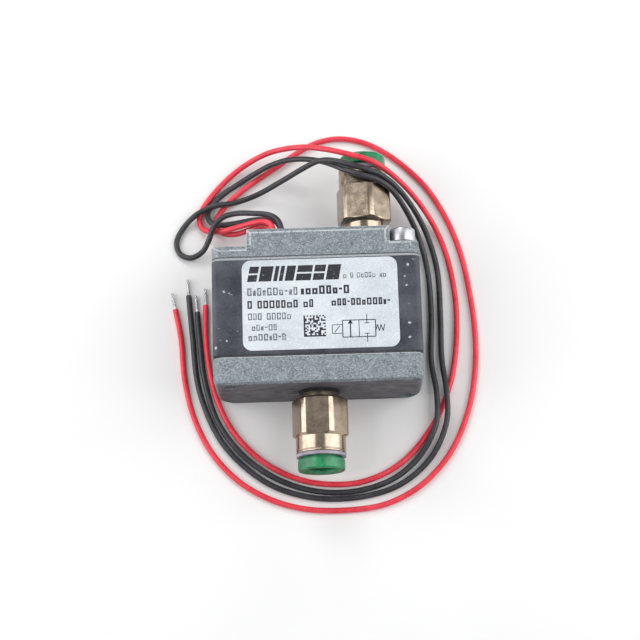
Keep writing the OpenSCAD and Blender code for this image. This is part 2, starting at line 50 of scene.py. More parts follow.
class Amount:
    # one output socket of a finish; sums of amounts add the Math nodes they need
    def __init__(self, finish, socket):
        self.finish = finish
        self.socket = socket

    def sum(self, operation, *others):
        return self.finish.node("ShaderNodeMath", {"operation": operation}, [self, *others])

    def __add__(self, other):
        return self.sum("ADD", other)

    def __sub__(self, other):
        return self.sum("SUBTRACT", other)

    def __rsub__(self, other):
        return self.finish.node("ShaderNodeMath", {"operation": "SUBTRACT"}, [other, self])

    def __mul__(self, other):
        return self.sum("MULTIPLY", other)

    __radd__, __rmul__ = __add__, __mul__

    def above(self, edge, soft):
        # 0 below the edge and 1 above it, with a smooth step as wide as soft
        ends = {"From Min": edge - soft / 2, "From Max": edge + soft / 2}
        settings = {"interpolation_type": "SMOOTHSTEP"}
        return self.finish.node("ShaderNodeMapRange", settings, {"Value": self, **ends})


class Finish:
    # a material with one Principled shader: constants go on its own sockets, the rest is fed by nodes
    def __init__(self, name, **constants):
        self.material = bpy.data.materials.new(name)
        self.material.use_nodes = True
        self.tree = self.material.node_tree
        self.shader = self.tree.nodes["Principled BSDF"]
        for words, value in constants.items():
            self.shader.inputs[socketNames[words]].default_value = value
        place = self.node("ShaderNodeTexCoord", {}, {}, "Object")
        self.spot = self.vector("SCALE", {0: place, "Scale": 1 / mm})  # the place in millimetres

    def node(self, kind, settings, inputs, output=0):
        made = self.tree.nodes.new(kind)
        for name, value in settings.items():
            if name == "stops":
                for element, (position, colour) in zip(made.color_ramp.elements, value):
                    element.position = position
                    element.color = (*colour, 1)
            else:
                setattr(made, name, value)
        for key, value in inputs.items() if isinstance(inputs, dict) else enumerate(inputs):
            if isinstance(value, Amount):
                self.tree.links.new(value.socket, made.inputs[key])
            else:
                made.inputs[key].default_value = value
        return Amount(self, made.outputs[output])

    def vector(self, operation, inputs, output=0):
        return self.node("ShaderNodeVectorMath", {"operation": operation}, inputs, output)

    def along(self, axis):
        # how far a point lies along X, Y or Z, in millimetres
        return self.node("ShaderNodeSeparateXYZ", {}, [self.spot], "XYZ".index(axis))

    def noise(self, size, detail=2.0, roughness=0.5, stretch=(1, 1, 1)):
        # cloudy pattern whose clouds are about size millimetres across
        spot = self.vector("MULTIPLY", [self.spot, stretch])
        inputs = {"Vector": spot, "Scale": 1 / size, "Detail": detail, "Roughness": roughness}
        return self.node("ShaderNodeTexNoise", {"noise_dimensions": "3D"}, inputs)

    def ramp(self, amount, *stops):
        # a colour between two (place, colour) stops
        return self.node("ShaderNodeValToRGB", {"stops": stops}, [amount], "Color")

    def blend(self, factor, low, high):
        inputs = {0: factor}
        for index, colour in ((6, low), (7, high)):
            inputs[index] = colour if isinstance(colour, Amount) else (*colour, 1)
        return self.node("ShaderNodeMix", {"data_type": "RGBA"}, inputs, 2)

    def painted(self, colour, rough, height, depth):
        # the material, fed with a colour, a roughness if any, and a relief depth millimetres high
        self.feed("Base Color", colour)
        if rough is not None:
            self.feed("Roughness", rough)
        inputs = {"Height": height, "Distance": depth * mm, "Strength": 1.0}
        self.feed("Normal", self.node("ShaderNodeBump", {}, inputs))
        return self.material

    def feed(self, name, amount):
        self.tree.links.new(amount.socket, self.shader.inputs[name])


socketNames = {
    "metal": "Metallic", "rough": "Roughness", "coat": "Coat Weight",
    "coatRough": "Coat Roughness", "shine": "Specular IOR Level",
}


def rgb(red, green, blue):
    # screen colour from 0 to 255, made linear
    shares = np.array([red, green, blue]) / 255
    low, high = shares / 12.92, ((shares + 0.055) / 1.055) ** 2.4
    return tuple(float(v) for v in np.where(shares <= 0.04045, low, high))


# finishes

castingLook = {
    # the edge colour is a painted highlight
    "pale": rgb(152, 162, 167), "deep": rgb(96, 105, 111), "edge": rgb(206, 212, 214),
    "speck": rgb(204, 212, 216), "speckSize": 0.36, "pit": rgb(66, 70, 76), "pitSize": 0.44,
    # the under colours are painted shade on a bare, brushed face
    "underShadePale": rgb(126, 125, 132), "underShadeDeep": rgb(66, 66, 72), "underSlope": 0.75, "streak": 0.5,
    "grain": 0.24, "blotch": 0.75, "cloud": 3.0, "relief": 0.04,
    # the joint's dark colour is painted shade
    "joint": 13.65, "jointWide": 0.32, "jointShadeColour": rgb(58, 60, 66),
}


def castingFinish(name, rub):
    # die-cast zinc under thin paint: clouds of two greys, specks, pits and a sandy relief; faces that
    # look along -Y are bare, brushed along X and painted darker as shade, painted shade darkens a band
    # within jointWide of the cover's joint, and rub is how much painted highlight pales the paint
    look = castingLook
    made = Finish(name, metal=0.1, rough=0.6, shine=0.35)
    clouds = made.noise(look["cloud"], 4, 0.6)
    streaks = made.noise(look["streak"], 3, 0.6, (0.12, 1.0, 1.0))
    fine = made.noise(look["grain"], 3, 0.75)
    blotches = made.noise(look["blotch"], 2, 0.6)
    mixed = clouds * 0.3 + blotches * 0.35 + fine * 0.35
    base = made.ramp(mixed, (0.38, look["deep"]), (0.62, look["pale"]))
    specks = made.noise(look["speckSize"], 1, 0.5).above(0.64, 0.08)
    pits = made.noise(look["pitSize"], 1, 0.5, (1, 1.3, 0.8)).above(0.66, 0.08)
    base = made.blend(specks * 0.5, base, look["speck"])
    base = made.blend(pits * 0.55, base, look["pit"])
    # painted shade: faces that look along -Y get a darker, bare and brushed colour
    bareAndShade = made.ramp(streaks * 0.6 + clouds * 0.4, (0.36, look["underShadeDeep"]), (0.66, look["underShadePale"]))
    facing = made.node("ShaderNodeNewGeometry", {}, {}, "Normal")
    under = (made.node("ShaderNodeSeparateXYZ", {}, [facing], 1) * -1.0).above(look["underSlope"], 0.3)
    base = made.blend(under, base, bareAndShade)
    # painted highlight: the paint pales in patches, as much as rub
    base = made.blend(blotches.above(0.62 - 0.3 * rub, 0.2) * rub, base, look["edge"])
    # painted shade: a dark band within jointWide of the cover's joint
    beside = (made.along("Y") - look["joint"] - 0.1 * blotches).sum("ABSOLUTE")
    jointShade = (look["jointWide"] - beside).above(0.0, 0.2) * 0.8
    relief = fine * 0.7 + blotches * 0.6 + streaks * under * 0.6
    return made.painted(made.blend(jointShade, base, look["jointShadeColour"]), 0.5 + fine * 0.25, relief, look["relief"])


housingLook = {
    "deep": rgb(42, 46, 54), "pale": rgb(86, 90, 100), "scuff": rgb(196, 200, 206), "cloud": 9.0,
    "grain": 0.35, "wobble": 0.5, "scratch": 0.9, "ripple": 1.6, "relief": 0.012, "face": 24.0,
    "nicks": [(25.1, 10.4, 0.34), (24.2, 7.1, 0.22), (24.6, 4.5, 0.26), (24.9, -6.0, 0.36),
              (24.8, -10.0, 0.3), (-25.1, 4.2, 0.26), (-23.7, 3.8, 0.2), (-24.6, -9.6, 0.28),
              (-27.6, -11.5, 0.42)],
}


def housingFinish():
    # satin glass-filled nylon: near-black clouds, a mould grain, a few pale nicks and rare fine scratches
    look = housingLook
    made = Finish("charcoal_housing", rough=0.42, shine=0.4)
    clouds = made.noise(look["cloud"], 3, 0.55)
    fine = made.noise(look["grain"], 3, 0.6)
    base = made.ramp(clouds * 0.65 + fine * 0.35, (0.36, look["deep"]), (0.66, look["pale"]))
    wobble = made.noise(look["wobble"], 2, 0.6)
    marks = 0.0
    for x, y, radius in look["nicks"]:
        away = made.vector("DISTANCE", [made.spot, (x, y, look["face"])], "Value")
        marks = marks + (radius * 1.6 - away + (wobble - 0.5) * 0.9).above(radius * 0.6, 0.25)
    scratch = made.noise(look["scratch"], 2, 0.6, (0.35, 1.0, 1.0)).above(0.735, 0.03)
    pale = (marks + scratch * 0.5).sum("MINIMUM", 1.0)
    colour = made.blend(pale * 0.85, base, look["scuff"])
    relief = fine + made.noise(look["ripple"], 2) * 0.5
    return made.painted(colour, 0.36 + fine * 0.18 + pale * 0.2, relief, look["relief"])


def gasketFinish(name, pale, deep):
    # fibre sheet: short flecks of two greys
    made = Finish(name, rough=0.8, shine=0.3)
    flecks = made.noise(0.3, 3, 0.7, (0.5, 1, 1))
    return made.painted(made.ramp(flecks, (0.35, deep), (0.65, pale)), None, flecks, 0.02)


filmLook = {
    "pale": rgb(220, 227, 233), "deep": rgb(196, 204, 211), "fleck": rgb(236, 240, 244),
    "cloud": 7, "mottle": 0.45, "relief": 0.012,
}


def labelFinish():
    # silvered polyester film: faint long clouds, fine mottle, and a soft shine
    look = filmLook
    made = Finish("label_film", metal=0.12, rough=0.45, shine=0.4)
    clouds = made.noise(look["cloud"], 3, 0.55, (0.6, 1.2, 1))
    mottle = made.noise(look["mottle"], 2, 0.6)
    base = made.ramp(clouds * 0.6 + mottle * 0.4, (0.36, look["deep"]), (0.62, look["pale"]))
    colour = made.blend(mottle.above(0.64, 0.08) * 0.5, base, look["fleck"])
    return made.painted(colour, 0.38 + clouds * 0.16, clouds * 0.8 + mottle * 0.12, look["relief"])


def inkFinish(name, dark, worn, wear):
    # thermal print: dark ink that has rubbed thin in small patches
    made = Finish(name, rough=0.55, shine=0.3)
    rub = made.noise(0.9, 3, 0.7) * 0.6 + made.noise(0.25, 2, 0.6) * 0.4
    return made.painted(made.blend(rub.above(wear, 0.1), dark, worn), None, rub, 0.004)


metalGrain = {"ring": 0.12, "stain": 2.4, "spot": 0.5}


def turnedMetal(name, pale, deep, rough, axis, stain=0.1, relief=0.004):
    # machined metal: fine rings across the axis, slow stains, and a little handling wear
    made = Finish(name, metal=1.0, rough=rough)
    squash = {"X": (1, 0.02, 0.02), "Y": (0.02, 1, 0.02)}[axis]
    rings = made.noise(metalGrain["ring"], 3, 0.7, squash)
    stains = made.noise(metalGrain["stain"], 4, 0.6)
    spots = made.noise(metalGrain["spot"], 2, 0.6)
    colour = made.ramp(stains * 0.7 + spots * 0.3, (0.32, deep), (0.62, pale))
    worn = rough - 0.06 + rings * 0.12 + stains.above(0.6, 0.3) * stain
    return made.painted(colour, worn, rings + spots * 0.25, relief)


plasticGrain = {"shift": 2.6, "peel": 0.5, "relief": 0.008}


def mouldedPlastic(name, pale, deep, rough, coat=0.0):
    # injection-moulded plastic: one colour with slow shifts, and a faint orange-peel surface
    made = Finish(name, rough=rough, coat=coat, coatRough=0.12)
    shift = made.noise(plasticGrain["shift"], 3, 0.6)
    peel = made.noise(plasticGrain["peel"], 2, 0.5)
    colour = made.ramp(shift * 0.75 + peel * 0.25, (0.34, deep), (0.66, pale))
    return made.painted(colour, rough - 0.05 + peel * 0.12, peel, plasticGrain["relief"])


leadGrain = {"bloom": 5, "dent": 0.6, "dust": 0.35, "relief": 0.02}


def leadInsulation(name, pale, deep, dust):
    # soft vinyl insulation: even colour, extruder streaks, a dull bloom and tiny dents
    made = Finish(name, rough=0.38, shine=0.5)
    bloom = made.noise(leadGrain["bloom"], 3, 0.6)
    dents = made.noise(leadGrain["dent"], 3, 0.6)
    spots = made.noise(leadGrain["dust"], 2).above(0.66, 0.06)
    base = made.ramp(bloom * 0.6 + dents * 0.4, (0.34, deep), (0.64, pale))
    return made.painted(made.blend(spots * 0.3, base, dust), 0.3 + bloom * 0.2, dents, leadGrain["relief"])


def rubberFinish():
    # matt black nitrile with a dusty bloom
    made = Finish("black_rubber", rough=0.7, shine=0.35)
    bloom = made.noise(1.2, 3, 0.6)
    colour = made.ramp(bloom, (0.35, rgb(24, 24, 26)), (0.7, rgb(52, 52, 55)))
    return made.painted(colour, None, made.noise(0.25, 2), 0.01)


windingLook = {"wire": 0.18, "relief": 0.05, "deep": rgb(120, 52, 22), "pale": rgb(178, 92, 48)}


def windingFinish():
    # enamelled copper: wires side by side along Y, each a rounded ridge as wide as the wire
    look = windingLook
    made = Finish("enamelled_copper", metal=0.9, rough=0.3, coat=0.6, coatRough=0.1)
    turns = (made.along("Y") * (2 * np.pi / look["wire"])).sum("SINE")
    shade = made.noise(1.5, 2, 0.5)
    colour = made.ramp(shade, (0.3, look["deep"]), (0.7, look["pale"]))
    return made.painted(colour, None, turns * 0.5 + shade * 0.2, look["relief"])


def floorFinish():
    # pale matt paper sweep
    made = Finish("pale_paper", rough=0.9, shine=0.2)
    clouds = made.noise(60, 2, 0.5)
    made.feed("Base Color", made.ramp(clouds, (0.3, (0.86, 0.86, 0.86)), (0.7, (0.9, 0.9, 0.9))))
    return made.material


finishes = {
    "casting": castingFinish("painted_casting", 0.0),
    # painted highlight on the rounded edges of the cover and on the base's upper rim
    "castingHighlight": castingFinish("highlighted_casting", 0.75),
    "housing": housingFinish(),
    "coverGasket": gasketFinish("fibre_gasket_pale", rgb(178, 184, 188), rgb(138, 144, 148)),
    "baseGasket": gasketFinish("fibre_gasket_dark", rgb(84, 86, 90), rgb(44, 45, 48)),
    "label": labelFinish(),
    "ink": inkFinish("label_ink", rgb(44, 46, 52), rgb(140, 145, 152), 0.62),
    "faintInk": inkFinish("label_ink_faint", rgb(92, 96, 104), rgb(170, 176, 184), 0.54),
    "zinc": turnedMetal("zinc_plate", rgb(214, 216, 220), rgb(168, 168, 176), 0.3, "Y"),
    "steel": turnedMetal("plain_steel", rgb(182, 182, 184), rgb(132, 132, 136), 0.38, "Y"),
    "spring": turnedMetal("spring_wire", rgb(196, 196, 198), rgb(140, 140, 146), 0.28, "Y"),
    "brass": turnedMetal("turned_brass", rgb(224, 184, 104), rgb(176, 136, 66), 0.3, "Y"),
    "nickel": turnedMetal("nickelled_brass", rgb(190, 174, 156), rgb(148, 134, 117), 0.2, "Y", 0.06,
                          0.0015),
    "collar": mouldedPlastic("green_collar", rgb(40, 154, 98), rgb(8, 88, 56), 0.32, 0.12),
    "ring": mouldedPlastic("grey_ring", rgb(176, 170, 182), rgb(136, 130, 144), 0.45),
    "bobbin": mouldedPlastic("natural_nylon", rgb(222, 214, 194), rgb(196, 186, 160), 0.45),
    "rubber": rubberFinish(),
    "winding": windingFinish(),
    "red": leadInsulation("red_insulation", rgb(240, 70, 88), rgb(214, 34, 52), rgb(244, 150, 158)),
    "black": leadInsulation("black_insulation", rgb(62, 62, 68), rgb(30, 30, 33), rgb(120, 120, 126)),
    "tinned": turnedMetal("tinned_copper", rgb(214, 214, 216), rgb(160, 160, 166), 0.25, "X"),
}
print("finishes mixed:", len(finishes))

# surfaces


def gridFaces(rows, columns, closeRows=False, closeColumns=False):
    # one four-sided face between each point and its neighbours along the row and the column
    row, column = np.meshgrid(
        np.arange(rows if closeRows else rows - 1),
        np.arange(columns if closeColumns else columns - 1), indexing="ij")
    nextRow, nextColumn = (row + 1) % rows, (column + 1) % columns
    corners = [row * columns + column, nextRow * columns + column,
               nextRow * columns + nextColumn, row * columns + nextColumn]
    return np.stack(corners, -1).reshape(-1, 4).tolist()


def closedTube(grid):
    # rings joined into a tube, with one many-sided face over the first and over the last ring
    rings, sides = grid.shape[:2]
    first = list(range(sides))[::-1]
    last = [(rings - 1) * sides + k for k in range(sides)]
    return grid, gridFaces(rings, sides, False, True) + [first, last]


def linked(name, data):
    # a new object in the scene
    piece = bpy.data.objects.new(name, data)
    bpy.context.scene.collection.objects.link(piece)
    return piece


def boxOf(node):
    # the low and the high corner of a node's box, in millimetres
    return (np.array(corner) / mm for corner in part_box(node))


def joined(parts):
    # several (points, faces) lists as one: each list's faces count on from the points before it
    points, faces, start = [], [], 0
    for some, theirs in parts:
        some = np.asarray(some, float).reshape(-1, 3)
        points.append(some)
        faces += [[index + start for index in face] for face in theirs]
        start += len(some)
    return np.concatenate(points), faces


def solid(name, parts, finish, body="valve", replaces=(), smoothAngle=35, weld=True):
    # makes one piece from closed surfaces in metres, with its faces turned outwards
    points, faces = joined(parts)
    mesh = bpy.data.meshes.new(name)
    mesh.from_pydata(points, [], faces)
    work = bmesh.new()
    work.from_mesh(mesh)
    if weld:
        bmesh.ops.remove_doubles(work, verts=work.verts, dist=1e-7)
        bmesh.ops.dissolve_degenerate(work, edges=work.edges, dist=1e-7)
    bmesh.ops.recalc_face_normals(work, faces=work.faces)
    work.to_mesh(mesh)
    work.free()
    return dressed(linked(name, mesh), finish, body, replaces, smoothAngle)


def dressed(piece, finish, body, replaces, smoothAngle):
    # smooth shading up to an angle, the finish, the body it rides on and the nodes it stands for
    piece.data.shade_smooth()
    piece.data.set_sharp_from_angle(angle=np.radians(smoothAngle))
    piece.data.materials.clear()
    piece.data.materials.append(finishes[finish])
    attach(piece, body)
    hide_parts(*replaces)
    return piece


def filleted(corners, radius, steps=5):
    # a closed outline whose corners are each cut back by up to radius and joined by a quadratic curve
    corners = np.asarray(corners, float)
    before, after = np.roll(corners, 1, 0) - corners, np.roll(corners, -1, 0) - corners
    longBefore = np.linalg.norm(before, axis=1, keepdims=True)
    longAfter = np.linalg.norm(after, axis=1, keepdims=True)
    back = np.minimum(np.broadcast_to(np.reshape(radius, (-1, 1)), (len(corners), 1)),
                      0.45 * np.minimum(longBefore, longAfter))
    start, end = corners + before / longBefore * back, corners + after / longAfter * back
    t = np.linspace(0, 1, steps + 1)[None, :, None]
    curve = (1 - t) ** 2 * start[:, None] + 2 * t * (1 - t) * corners[:, None] + t ** 2 * end[:, None]
    return curve.reshape(-1, 2)


def revolved(outline, shape, sides):
    # a closed outline of (radius, height) turned about the axis; shape may change the radius with the angle
    angle = np.linspace(0, 2 * np.pi, sides, endpoint=False)[None, :]
    radius, height = outline[:, :1], outline[:, 1:]
    radius = radius + 0 * angle if shape is None else shape(radius, height, angle)
    return np.stack([radius * np.cos(angle), radius * np.sin(angle), height + 0 * radius], -1) * mm


def onAxis(points, centre, way):
    # lays a part drawn along its own axis onto +Y (way 1) or -Y (way -1), from the centre given in metres
    across, up, height = points[..., 0], points[..., 1], points[..., 2]
    return np.stack([across, way * height, -way * up], -1) + np.array(centre)


def turned(name, outline, centre, way, finish, slot, node, shape=None, sides=144, smoothAngle=40,
           body="valve"):
    # one piece turned from an outline: closed along the outline and round the axis
    grid = onAxis(revolved(outline, shape, sides), centre, way)
    parts = [(grid, gridFaces(*grid.shape[:2], True, True))]
    return solid(name, parts, finish, body, [node], smoothAngle)


def sweep(path, radius, sides):
    # a round tube: each ring stands square to the path, and its side direction is carried on without twist
    path = np.asarray(path, float)
    heading = np.gradient(path, axis=0)
    heading /= np.linalg.norm(heading, axis=1, keepdims=True)
    side = np.zeros_like(heading)
    start = np.cross(heading[0], [0.0, 0.0, 1.0])
    if np.linalg.norm(start) < 0.1:
        start = np.cross(heading[0], [1.0, 0.0, 0.0])
    for k in range(len(path)):
        start = start - heading[k] * (start @ heading[k])
        start /= np.linalg.norm(start)
        side[k] = start
    other = np.cross(heading, side)
    angle = np.linspace(0, 2 * np.pi, sides, endpoint=False)[None, :, None]
    radius = np.reshape(radius, (-1, 1, 1))
    return path[:, None] + radius * (np.cos(angle) * side[:, None] + np.sin(angle) * other[:, None])


def curveThrough(points, parts):
    # Catmull-Rom curve: between two points it follows a cubic set by them and their neighbours
    points = np.asarray(points, float)
    padded = np.vstack([2 * points[0] - points[1], points, 2 * points[-1] - points[-2]])
    a, b, c, d = (padded[k:len(points) - 1 + k][:, None] for k in range(4))
    t = np.linspace(0, 1, parts, endpoint=False)[None, :, None]
    bend, twist = 2 * a - 5 * b + 4 * c - d, 3 * b - a - 3 * c + d
    curve = 0.5 * (2 * b + (c - a) * t + bend * t ** 2 + twist * t ** 3)
    return np.vstack([curve.reshape(-1, 3), points[-1]])


def roundedBox(halfWide, low, high, lowRadius, highRadius, across, upward, steps=10):
    # outline in two axes, drawn inwards by across and upward: straight sides and an arc at each corner
    quarter = np.linspace(0, np.pi / 2, steps)
    rounds = []
    for turn, side, edge, radius in ((0, 1, high, highRadius), (1, -1, high, highRadius),
                                     (2, -1, low, lowRadius), (3, 1, low, lowRadius)):
        centre = np.array([side * (halfWide - radius), edge + (radius if edge == low else -radius)])
        angle = quarter + turn * np.pi / 2
        reach = np.maximum([radius - across, radius - upward], 1e-3)
        rounds.append(centre + reach * np.stack([np.cos(angle), np.sin(angle)], -1))
    return np.concatenate(rounds)


# camera

cameraView = {
    "tilt": 15.04, "roll": 1.75, "distance": 0.450, "lens": 93.6, "sensor": 36, "clip": 0.01,
    "target": (0.000746, -0.004580, 0.024),
}


def setCamera():
    # looks down on the label, tipped towards the lower port by tilt and turned about its own line by roll
    tilt, roll = np.radians(cameraView["tilt"]), np.radians(cameraView["roll"])
    back = Vector((0, -np.sin(tilt), np.cos(tilt)))
    plainUp = Vector((0, np.cos(tilt), np.sin(tilt)))
    right = np.cos(roll) * Vector((1, 0, 0)) - np.sin(roll) * plainUp
    up = np.sin(roll) * Vector((1, 0, 0)) + np.cos(roll) * plainUp
    camera = linked("camera", bpy.data.cameras.new("camera"))
    camera.data.lens = cameraView["lens"]
    camera.data.sensor_width = cameraView["sensor"]
    camera.data.clip_start = cameraView["clip"]
    turn = Matrix((right, up, back)).transposed().to_4x4()
    place = Vector(cameraView["target"]) + cameraView["distance"] * back
    camera.matrix_world = Matrix.Translation(place) @ turn
    bpy.context.scene.camera = camera


setCamera()
print("camera set")

# leads

leadWire = {"diameter": 0.0016, "parts": 6, "sides": 18, "tip": 0.005, "strand": 0.00015,
            "strandPitch": 0.006, "strandSides": 8, "rim": 0.00008, "narrowed": 0.92, "overlap": 0.0004,
            "stepsInMetre": 10000}
# points along each lead, in tenths of a millimetre
leadRoutes = {
    "red_1": [
        (-116, 228, 131), (-116, 248, 131), (-126, 271, 126), (-150, 281, 116), (-184, 280, 100),
        (-220, 278, 79), (-260, 277, 54), (-296, 282, 32), (-324, 298, 18), (-333, 330, 9), (-319, 366, 9),
        (-286, 410, 9), (-240, 456, 12), (-186, 490, 28), (-130, 506, 60), (-76, 502, 104),
        (-26, 488, 150), (20, 470, 184), (64, 453, 204), (110, 438, 208), (146, 428, 204), (184, 415, 188),
        (224, 396, 152), (266, 370, 106), (310, 330, 56), (350, 270, 19), (380, 180, 9), (396, 50, 9),
        (388, -90, 9), (362, -200, 9), (310, -305, 9), (225, -400, 9), (120, -450, 9), (15, -456, 9),
        (-80, -434, 9), (-170, -382, 9), (-246, -298, 9), (-294, -190, 9), (-316, -60, 9), (-318, 70, 9),
    ],
    "red_2": [
        (-116, 228, 109), (-116, 246, 108), (-127, 268, 99), (-152, 277, 85), (-186, 274, 64),
        (-220, 270, 44), (-252, 274, 29), (-278, 290, 19), (-284, 318, 11), (-271, 348, 9), (-242, 382, 9),
        (-202, 416, 9), (-154, 450, 9), (-100, 486, 9), (-44, 524, 9), (5, 550, 9), (55, 563, 9),
        (102, 562, 9), (154, 548, 9), (206, 520, 9), (264, 474, 9), (328, 404, 9), (380, 310, 9),
        (416, 205, 9), (436, 90, 9), (446, -30, 9), (440, -150, 9), (412, -270, 9), (358, -380, 9),
        (275, -466, 9), (175, -516, 9), (65, -530, 9), (-45, -524, 9), (-145, -494, 9), (-235, -438, 9),
        (-308, -354, 9), (-356, -250, 9), (-380, -140, 9), (-388, -30, 9), (-404, 60, 9),
    ],
    "black_1": [
        (-94, 228, 131), (-94, 254, 131), (-104, 280, 129), (-128, 297, 125), (-170, 306, 115),
        (-220, 314, 96), (-262, 309, 78), (-288, 286, 63), (-304, 252, 45), (-324, 224, 27),
        (-358, 211, 14), (-390, 226, 9), (-399, 262, 9), (-378, 304, 11), (-338, 338, 28), (-286, 360, 33),
        (-226, 372, 22), (-160, 394, 26), (-90, 418, 66), (-30, 432, 124), (18, 436, 174), (60, 425, 202),
        (104, 409, 210), (146, 398, 205), (186, 386, 189), (234, 364, 142), (284, 318, 76), (324, 250, 24),
        (348, 150, 9), (350, 20, 10), (348, -110, 13), (356, -210, 30), (350, -300, 26), (302, -394, 12),
        (210, -466, 9), (90, -496, 9), (-40, -490, 9), (-165, -440, 9), (-276, -330, 9), (-338, -180, 9),
        (-356, -20, 9), (-366, 100, 9),
    ],
    "black_2": [
        (-94, 228, 109), (-94, 252, 109), (-105, 279, 104), (-130, 293, 94), (-174, 299, 76),
        (-226, 298, 54), (-272, 299, 40), (-300, 314, 27), (-308, 344, 14), (-289, 378, 9), (-256, 408, 9),
        (-216, 434, 10), (-172, 456, 24), (-124, 472, 50), (-76, 474, 84), (-28, 464, 118), (18, 446, 148),
        (56, 422, 177), (94, 396, 200), (138, 379, 205), (182, 368, 191), (226, 346, 148), (270, 296, 80),
        (304, 226, 26), (322, 130, 10), (324, 10, 9), (318, -110, 12), (328, -215, 28), (320, -305, 28),
        (268, -392, 13), (186, -452, 9), (80, -479, 9), (-30, -472, 9), (-135, -432, 9), (-224, -362, 9),
        (-290, -265, 9), (-324, -145, 9), (-336, -30, 9), (-342, 50, 9),
    ],
}


def leadTip(name, end, way):
    # seven tinned strands: one straight, six on a helix round it, each a little uneven in length and
    # blunt at its end by one minus the place along it to a high power
    t = np.linspace(0, 1, 25)[:, None]
    across = np.cross(way, [0, 0, 1.0])
    up = np.cross(across, way)
    parts = []
    for k in range(7):
        turn = 2 * np.pi * (k / 6 + t * leadWire["tip"] / leadWire["strandPitch"])
        out = 0.0 if k == 6 else 2 * leadWire["strand"]
        reach = leadWire["tip"] * (0.985 + 0.015 * np.cos(2.3 * k))
        lap = leadWire["overlap"]
        path = end + way * (t * (reach + lap) - lap) + out * (np.cos(turn) * across + np.sin(turn) * up)
        ease = np.minimum(1, np.sqrt(1.02 - t[:, 0] ** 30))
        parts.append(closedTube(sweep(path, leadWire["strand"] * ease, leadWire["strandSides"])))
    return solid(name, parts, "tinned", weld=False)


def layLeads():
    # insulation as a tube along the route, with a narrowed cut end, and the bare tip beyond it
    radius = leadWire["diameter"] / 2
    for name, route in leadRoutes.items():
        path = curveThrough(np.array(route) / leadWire["stepsInMetre"], leadWire["parts"])
        way = path[-1] - path[-2]
        way /= np.linalg.norm(way)
        rim = np.array([path[-1] - way * leadWire["rim"], path[-1]])
        sizes = np.append(np.full(len(path), radius), radius * leadWire["narrowed"])
        grid = sweep(np.vstack([path[:-1], rim]), sizes, leadWire["sides"])
        colour = name.split("_")[0]
        lead = solid("insulation_" + name, [closedTube(grid)], colour,
                     replaces=["lead_" + name], smoothAngle=60, weld=False)
        tip = leadTip("tinned_tip_" + name, path[-1], way)
        long = float(np.linalg.norm(np.diff(path, axis=0), axis=1).sum())
    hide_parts("lead_tips")


layLeads()
print("leads laid")

# castings and housing

softEdges = {
    "sharp": 35, "smooth": 40, "flat": 1, "shortest": 0.2, "lift": 0.05, "segments": 3, "merge": 2e-6,
    "cover": 0.28, "housing": 0.25,
}


def outerEdges(work):
    # edges that stand out sharply and look into the open: a ray from the edge, half-way between its two
    # faces, meets nothing of the piece
    tree = BVHTree.FromBMesh(work)
    found = []
    shortest, sharp = softEdges["shortest"] * mm, np.radians(softEdges["sharp"])
    for edge in work.edges:
        if len(edge.link_faces) != 2 or not edge.is_convex or edge.calc_length() < shortest:
            continue
        if edge.calc_face_angle() < sharp:
            continue
        way = (edge.link_faces[0].normal + edge.link_faces[1].normal).normalized()
        middle = (edge.verts[0].co + edge.verts[1].co) / 2
        if tree.ray_cast(middle + way * softEdges["lift"] * mm, way)[0] is None:
            found.append(edge)
    return found


def softCopy(node, name, finish, width):
    # a merged copy of the node with its flats joined and its outer sharp edges rounded by width millimetres
    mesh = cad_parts[node].data.copy()
    mesh.name = name
    work = bmesh.new()
    work.from_mesh(mesh)
    bmesh.ops.remove_doubles(work, verts=work.verts, dist=softEdges["merge"])
    bmesh.ops.dissolve_limit(work, angle_limit=np.radians(softEdges["flat"]), verts=work.verts,
                             edges=work.edges)
    weight = work.edges.layers.float.new("bevel_weight_edge")
    for edge in outerEdges(work):
        edge[weight] = 1.0
    work.to_mesh(mesh)
    work.free()
    piece = linked(name, mesh)
    dressed(piece, finish, "valve", [node], softEdges["smooth"])
    edge = piece.modifiers.new("edge_round", "BEVEL")
    edge.width = width * mm
    edge.segments = softEdges["segments"]
    edge.limit_method = "WEIGHT"
    edge.use_clamp_overlap = False
    # the rounded edges take the painted highlight finish
    if finish == "casting":
        mesh.materials.append(finishes["castingHighlight"])
        edge.material = 1
    return piece


baseCasting = {
    "side": 2.2, "front": 0.6, "rim": 0.25, "border": 0.4, "frontRadius": 3.0, "backRadius": 5.0,
    "levels": [0, 0.02, 0.1, 0.25, 0.45, 0.6, 0.66, 0.85, 1.1, 1.4, 1.75, 2.2],
    "rimShares": [1, 0.6, 0.3, 0.1, 0], "holeRadius": 2.15, "holePlaces": [(-24.2, 20), (24.2, 4)],
    "port": 4.86, "portDeep": 5.2, "drillSides": 64,
}


def drilled(piece, holes):
    # takes round holes along Y, each (x, z, radius, low, high) in millimetres, out of a piece's own mesh
    tubes = []
    for x, z, radius, low, high in holes:
        ends = np.array([(x, low, z), (x, high, z)]) * mm
        tubes.append(closedTube(sweep(ends, radius * mm, baseCasting["drillSides"])))
    points, faces = joined(tubes)
    mesh = bpy.data.meshes.new("drill")
    mesh.from_pydata(points, [], faces)
    drill = linked("drill", mesh)
    cut = piece.modifiers.new("holes", "BOOLEAN")
    cut.operation = "DIFFERENCE"
    cut.solver = "EXACT"
    cut.object = drill
    bpy.context.view_layer.update()
    whole = piece.evaluated_get(bpy.context.evaluated_depsgraph_get())
    piece.data = bpy.data.meshes.new_from_object(whole)
    piece.modifiers.clear()
    piece.data.set_sharp_from_angle(angle=np.radians(softEdges["smooth"]))
    bpy.data.objects.remove(drill)
    return piece


